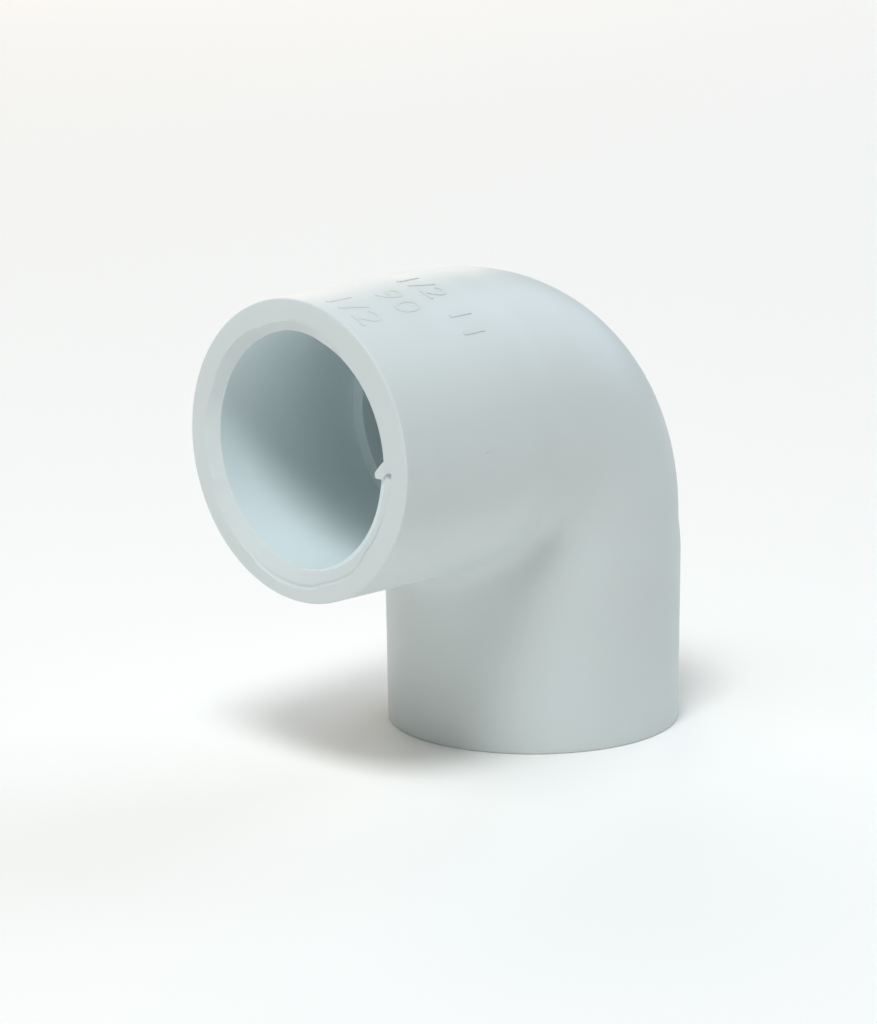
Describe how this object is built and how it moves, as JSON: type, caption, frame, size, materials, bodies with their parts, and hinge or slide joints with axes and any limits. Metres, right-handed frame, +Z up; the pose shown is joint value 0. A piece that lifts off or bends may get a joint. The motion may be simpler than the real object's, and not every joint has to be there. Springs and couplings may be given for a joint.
{
  "type": "pvc elbow fitting",
  "caption": "Ninety degree white PVC elbow with two equal solvent-weld sockets for half-inch pipe, moulded in one piece, joined by a short round bend.",
  "frame": {"origin": "centre of the lower socket's face, the flat ring that the fitting stands on", "axes": "+Z up along the lower socket's axis; -Y out of the front socket's mouth along its axis; +X across both axes, to the right of a viewer who faces the front socket's mouth"},
  "size_m": [0.0274, 0.0439, 0.0439],
  "materials": {
    "white_pvc": "satin as-moulded white PVC, very slightly blue-grey"
  },
  "bodies": {
    "root": {"elbow_body": "white_pvc"}
  },
  "joints": []
}
